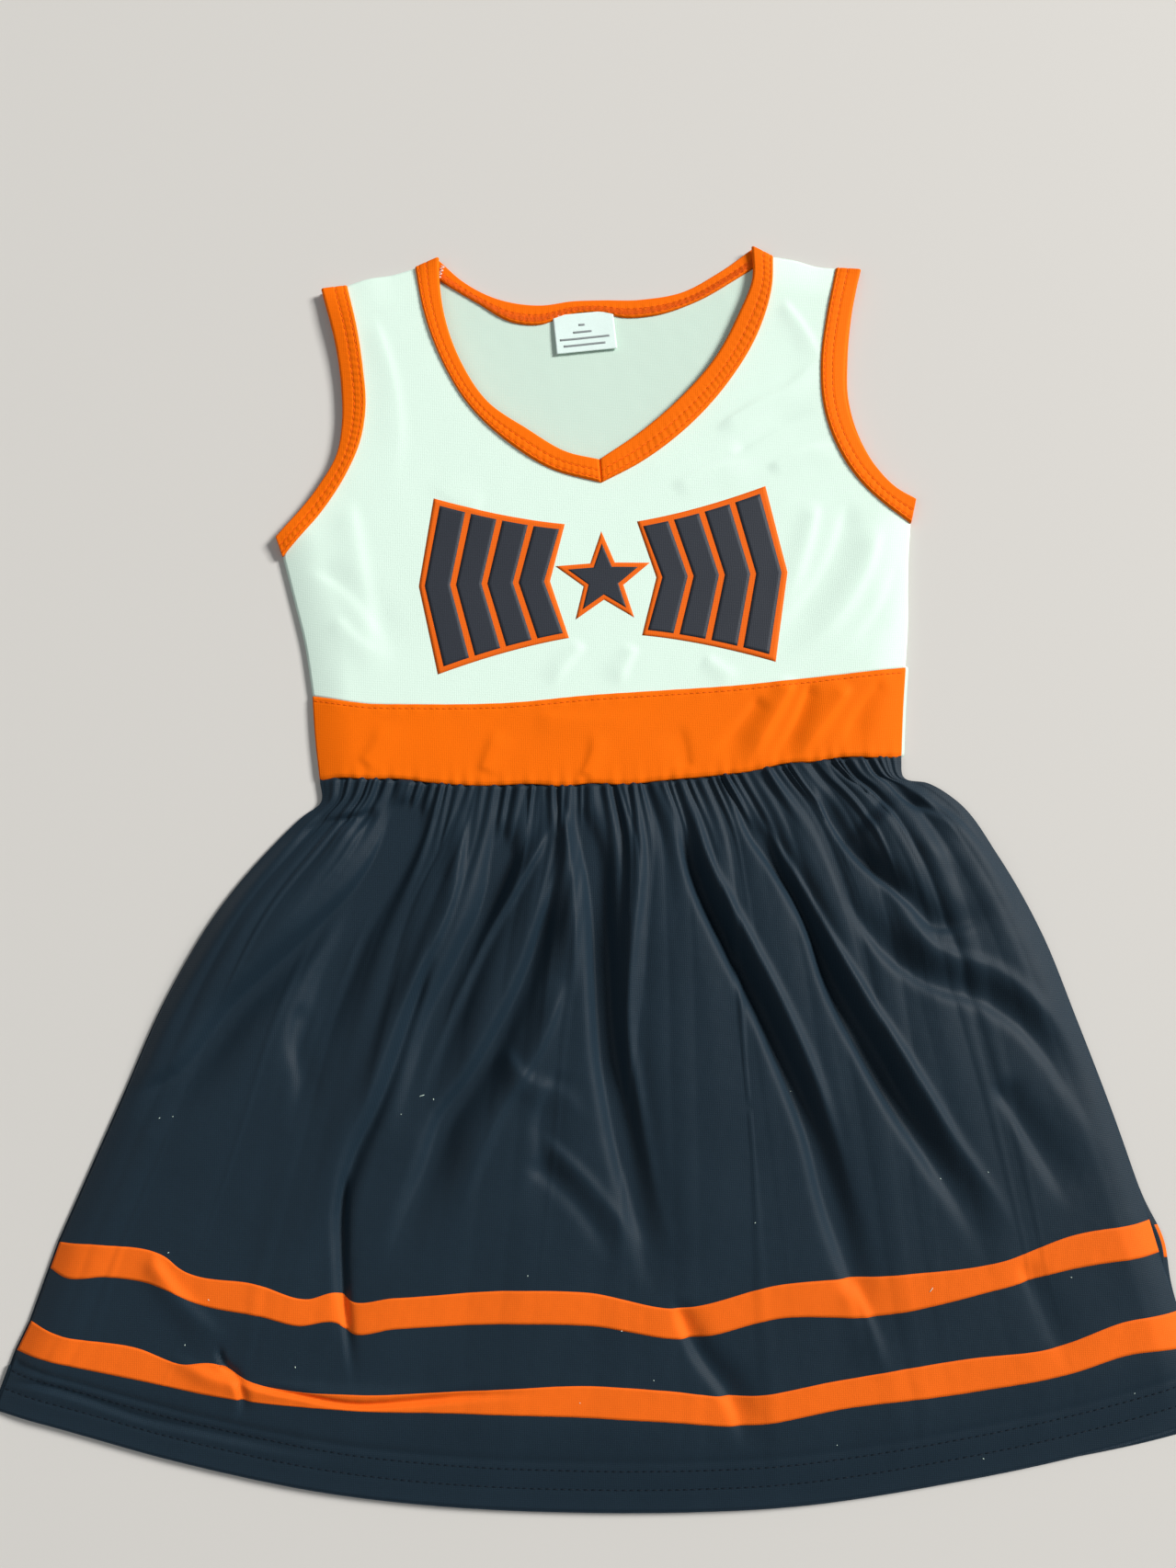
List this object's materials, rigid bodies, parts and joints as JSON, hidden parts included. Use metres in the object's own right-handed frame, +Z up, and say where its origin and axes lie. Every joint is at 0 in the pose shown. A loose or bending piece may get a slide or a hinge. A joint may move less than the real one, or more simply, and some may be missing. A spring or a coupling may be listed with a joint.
{
  "type": "cheer uniform",
  "caption": "Child's sleeveless pull-on cheer dress with bound neck and armholes, a contrast waistband and a gathered skirt with stripes, laid flat.",
  "frame": {"origin": "the middle of the bounding box in X and Y, on the surface that the dress lies on", "axes": "+Y towards the neck, +Z up out of the front of the dress, +X to the right of a person who looks down at the front"},
  "size_m": [0.53, 0.582, 0.0092],
  "materials": {
    "white_jersey": "fine matte cotton jersey",
    "orange_jersey": "fine matte cotton jersey",
    "navy_jersey": "soft jersey with a slight sheen",
    "orange_print": "matte printed ink on jersey",
    "navy_print": "matte printed ink on jersey",
    "label_ribbon": "woven ribbon",
    "orange_thread": "polyester sewing thread",
    "navy_thread": "polyester sewing thread"
  },
  "bodies": {
    "bodice": {"bodice_front": "white_jersey", "bodice_back": "white_jersey", "waistband_front": "orange_jersey", "neck_binding_front_left": "orange_jersey", "neck_binding_front_right": "orange_jersey", "neck_binding_back": "orange_jersey", "armhole_binding_left": "orange_jersey", "armhole_binding_right": "orange_jersey", "shoulder_seam_left": "white_jersey", "shoulder_seam_right": "white_jersey", "bodice_side_seam_left": "white_jersey", "bodice_side_seam_right": "white_jersey", "waist_seam_front": "navy_jersey", "waist_seam_back": "navy_jersey", "emblem_ground": "orange_print", "emblem_chevrons": "navy_print", "emblem_star": "navy_print", "neck_stitching_front": "orange_thread", "neck_stitching_back": "orange_thread", "armhole_stitching_left": "orange_thread", "armhole_stitching_right": "orange_thread", "waistband_stitching": "orange_thread"},
    "skirt": {"skirt_front": "navy_jersey", "skirt_back": "navy_jersey", "skirt_side_seam_left": "navy_jersey", "skirt_side_seam_right": "navy_jersey", "hem_front": "navy_jersey", "hem_back": "navy_jersey", "upper_stripe_front": "orange_print", "lower_stripe_front": "orange_print", "upper_stripe_back": "orange_print", "lower_stripe_back": "orange_print", "hem_stitching_front": "navy_thread", "hem_stitching_back": "navy_thread"},
    "label": {"size_label": "label_ribbon"}
  },
  "joints": [
    {"name": "skirt_fold", "type": "hinge", "parent": "bodice", "child": "skirt", "pos_m": [0.016, 0.035, 0.014], "axis": [-1, 0, 0], "range_deg": [0, 170]},
    {"name": "label_flip", "type": "hinge", "parent": "bodice", "child": "label", "pos_m": [0.0115, 0.2554, 0.0024], "axis": [-1, 0, 0], "range_deg": [0, 150]}
  ]
}
